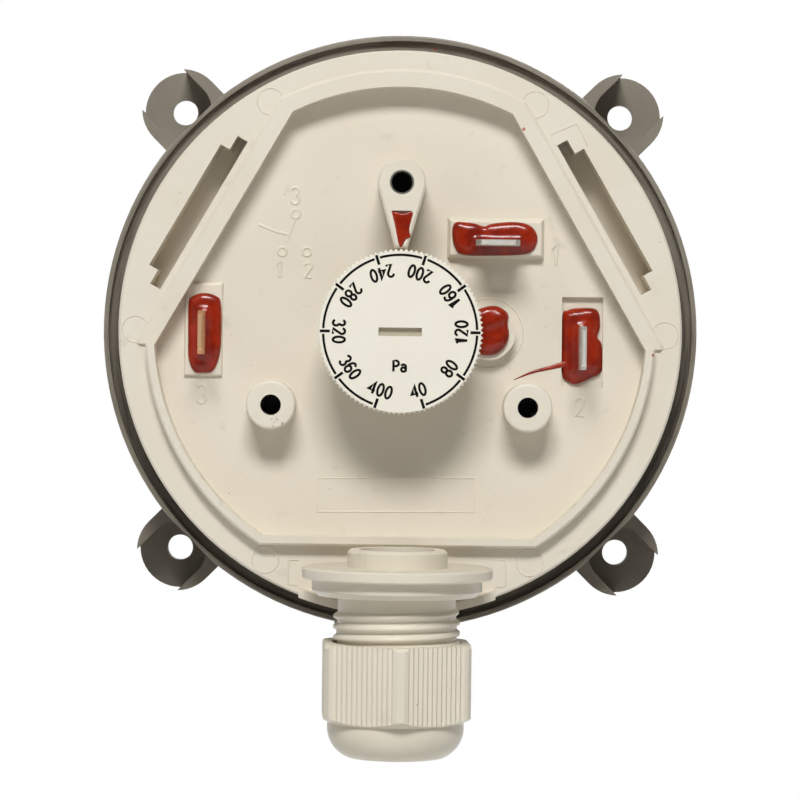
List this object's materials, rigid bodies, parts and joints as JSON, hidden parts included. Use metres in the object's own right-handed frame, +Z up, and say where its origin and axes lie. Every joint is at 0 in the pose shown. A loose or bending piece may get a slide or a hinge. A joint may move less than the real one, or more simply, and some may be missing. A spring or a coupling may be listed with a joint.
{
  "type": "differential pressure switch",
  "caption": "Round wall-mounted air pressure switch, cover off: setpoint dial, spade terminals sealed with red lacquer, lugs and a cable gland",
  "frame": {"origin": "centre of the four wall lug holes, on the wall plane", "axes": "+Z up the wall, away from the cable gland; -Y out of the wall towards the viewer; +X right"},
  "size_m": [0.0868, 0.0459, 0.1036],
  "materials": {
    "grey_plastic": "fine matt moulding",
    "ivory_plastic": "satin moulding",
    "gland_plastic": "satin moulding",
    "dial_plastic": "smooth moulding with black print",
    "lacquer": "glossy dried lacquer",
    "tinned_tab": "tinned",
    "contact_silver": "bright",
    "spring_bronze": "rolled",
    "turned_brass": "turned",
    "plate_aluminium": "rolled",
    "zinc_steel": "zinc plated",
    "silicone": "matt",
    "black_rubber": "matt",
    "claw_plastic": "satin moulding"
  },
  "bodies": {
    "housing": {"base_shell": "grey_plastic", "switch_body": "ivory_plastic", "housing_screws": "zinc_steel", "cover_bush": "zinc_steel", "diaphragm": "silicone", "range_spring": "zinc_steel", "spindle_seal": "black_rubber", "terminal_1": "tinned_tab", "terminal_2": "tinned_tab", "terminal_3": "tinned_tab", "rest_contact": "contact_silver", "working_contact": "contact_silver", "calibration_screw": "turned_brass", "lacquer_1": "lacquer", "lacquer_2": "lacquer", "lacquer_3": "lacquer", "calibration_lacquer": "lacquer", "pointer_lacquer": "lacquer", "gland_body": "gland_plastic"},
    "dial": {"setpoint_dial": "dial_plastic", "dial_spindle": "turned_brass"},
    "spring_nut": {"adjusting_nut": "turned_brass"},
    "diaphragm_centre": {"diaphragm_front_plate": "plate_aluminium", "diaphragm_rear_plate": "plate_aluminium", "diaphragm_stud": "turned_brass"},
    "blade": {"snap_blade": "spring_bronze", "moving_contact": "contact_silver"},
    "gland_clamp": {"gland_claws": "claw_plastic", "gland_seal": "black_rubber"},
    "clamp_nut": {"gland_nut": "gland_plastic"}
  },
  "joints": [
    {"name": "dial_turn", "type": "hinge", "parent": "housing", "child": "dial", "pos_m": [0, -0.025, 0], "axis": [0, -1, 0], "range_deg": [-162.5, 162.5]},
    {"name": "nut_travel", "type": "slide", "parent": "housing", "child": "spring_nut", "axis": [0, -1, 0], "range_m": [-0.00135, 0.00135], "deforming": ["range_spring"]},
    {"name": "diaphragm_travel", "type": "slide", "parent": "housing", "child": "diaphragm_centre", "axis": [0, -1, 0], "range_m": [0, 0.0005], "stiffness_N_per_m": 250, "springref_m": -0.0016, "deforming": ["diaphragm"]},
    {"name": "blade_rock", "type": "hinge", "parent": "housing", "child": "blade", "pos_m": [-0.0223, -0.0122, 0], "axis": [0, 0, -1], "range_deg": [0, 0.76]},
    {"name": "gland_travel", "type": "slide", "parent": "housing", "child": "gland_clamp", "axis": [0, 0, 1], "range_m": [-0.003, 0.00225]},
    {"name": "gland_turn", "type": "hinge", "parent": "gland_clamp", "child": "clamp_nut", "pos_m": [0, -0.0323, -0.05], "axis": [0, 0, 1], "range_deg": [-721, 541]}
  ],
  "couplings": [
    {"joint": "dial_turn", "follows": "nut_travel", "rad_per_m": 2094.4},
    {"joint": "blade_rock", "follows": "diaphragm_travel", "rad_per_m": 26},
    {"joint": "gland_turn", "follows": "gland_travel", "rad_per_m": 4188.8}
  ]
}
